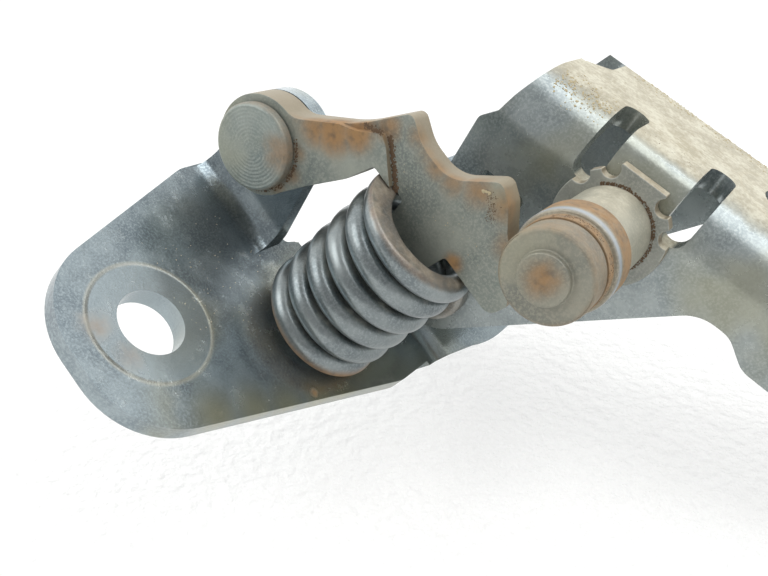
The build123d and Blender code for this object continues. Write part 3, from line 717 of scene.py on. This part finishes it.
# Stage: pale floor under the hinge as it was laid down, two soft lamps, and a white
# surrounding, dimmer towards the camera, with two dark boards that the plated foot mirrors;
# the camera stands where the photograph was taken.
CAMERA_PLACE = Vector((29.88 * MM, -151.85 * MM, 122.27 * MM))
CAMERA_RIGHT = Vector((0.58514, 0.51779, 0.62411))
CAMERA_UP = Vector((-0.80772, 0.30373, 0.50530))
CAMERA_BACK = Vector((0.07208, -0.79978, 0.59596))
LENS = 39.84
FLOOR_LEAN = math.radians(28)
FLOOR_DROP = 34 * MM
FLOOR_HALF = 3
FLOOR_GLOW = 1.13
GLOW_SHARE = 0.56
MIDDLE = Vector((0.02, -0.01, 0.03))
LAMP_WIDTH = 0.5

floor_up = (CAMERA_UP * math.cos(FLOOR_LEAN) + CAMERA_BACK * math.sin(FLOOR_LEAN)).normalized()
floor_side = CAMERA_RIGHT.normalized()
floor_far = floor_up.cross(floor_side)


def turned(place, right, up, back):
    return Matrix.Translation(place) @ Matrix((right, up, back)).transposed().to_4x4()


floor_mesh = bpy.data.meshes.new("floor")
floor_mesh.from_pydata([(x * FLOOR_HALF, y * FLOOR_HALF, 0) for x, y in
                        [(-1, -1), (1, -1), (1, 1), (-1, 1)]], [], [(0, 1, 2, 3)])
floor = placed("floor", floor_mesh)
floor.matrix_world = turned(-floor_up * FLOOR_DROP, floor_side, floor_far, floor_up)
paper = bpy.data.materials.new("white cloth")
paper.use_nodes = True
tree = paper.node_tree
shader = tree.nodes["Principled BSDF"]
shader.inputs["Base Color"].default_value = (0.92, 0.92, 0.90, 1)
shader.inputs["Roughness"].default_value = 0.9
weave = noise(tree, surface_place(tree), 330.0, 6.0)
cloth = add(tree, "ShaderNodeBump", {"Height": weave, "Strength": 1.0, "Distance": 0.0025})
tree.links.new(cloth.outputs["Normal"], shader.inputs["Normal"])
glow = add(tree, "ShaderNodeEmission", {"Color": (1, 1, 1, 1), "Strength": FLOOR_GLOW})
path = add(tree, "ShaderNodeLightPath").outputs
looked_at = maths(tree, "MAXIMUM", path["Is Camera Ray"], path["Is Glossy Ray"])
seen = maths(tree, "MULTIPLY", looked_at, GLOW_SHARE)
both = add(tree, "ShaderNodeMixShader", {0: seen, 1: shader.outputs["BSDF"],
                                         2: glow.outputs["Emission"]})
tree.links.new(both.outputs["Shader"], tree.nodes["Material Output"].inputs["Surface"])
floor_mesh.materials.append(paper)

BOARDS = [((CAMERA_RIGHT * 0.65 + CAMERA_UP * 0.74 - CAMERA_BACK * 0.20).normalized(), 0.03),
          ((CAMERA_RIGHT * 0.72 + CAMERA_UP * 0.68 - CAMERA_BACK * 0.15).normalized(), 0.35)]
BOARD_EDGE = (0.986, 0.999)
LEVEL_FAR, LEVEL_NEAR = 1.60, 0.50

world = bpy.data.worlds.new("studio")
bpy.context.scene.world = world
world.use_nodes = True
tree = world.node_tree
sky = tree.nodes["Background"]
sky.inputs["Color"].default_value = (1, 1, 1, 1)
direction = add(tree, "ShaderNodeTexCoord").outputs["Generated"]
towards = from_vectors(tree, "DOT_PRODUCT", direction, CAMERA_BACK)
level = ramp(tree, towards, -0.3, 0.9, LEVEL_FAR, LEVEL_NEAR)
for board_way, shade in BOARDS:
    board = from_vectors(tree, "DOT_PRODUCT", direction, board_way)
    level = maths(tree, "MULTIPLY", level, ramp(tree, board, *BOARD_EDGE, 1.0, shade))
rays = add(tree, "ShaderNodeLightPath").outputs
level = maths(tree, "MAXIMUM", level, rays["Is Camera Ray"])
tree.links.new(level, sky.inputs["Strength"])


def lamp(name, place, power):
    """Square soft lamp that looks at the middle of the hinge."""
    light = bpy.data.lights.new(name, "AREA")
    light.energy = power
    light.size = LAMP_WIDTH
    made = placed(name, light)
    made.location = place
    aim = MIDDLE - place
    made.rotation_euler = aim.to_track_quat("-Z", "Y").to_euler()


lamp("window", MIDDLE + (CAMERA_RIGHT * 0.45 + CAMERA_UP * 0.65 + CAMERA_BACK * 0.60) * 0.7,
     2.4)
lamp("fill", MIDDLE + (CAMERA_UP * 0.5 - CAMERA_RIGHT * 0.7 + CAMERA_BACK * 0.5) * 0.8, 1.9)

camera = placed("camera", bpy.data.cameras.new("camera"))
camera.data.lens = LENS
camera.data.sensor_width = 36.0
camera.data.clip_start = 0.005
camera.matrix_world = turned(CAMERA_PLACE, CAMERA_RIGHT, CAMERA_UP, CAMERA_BACK)
bpy.context.scene.camera = camera

bpy.context.scene.view_settings.view_transform = "Standard"
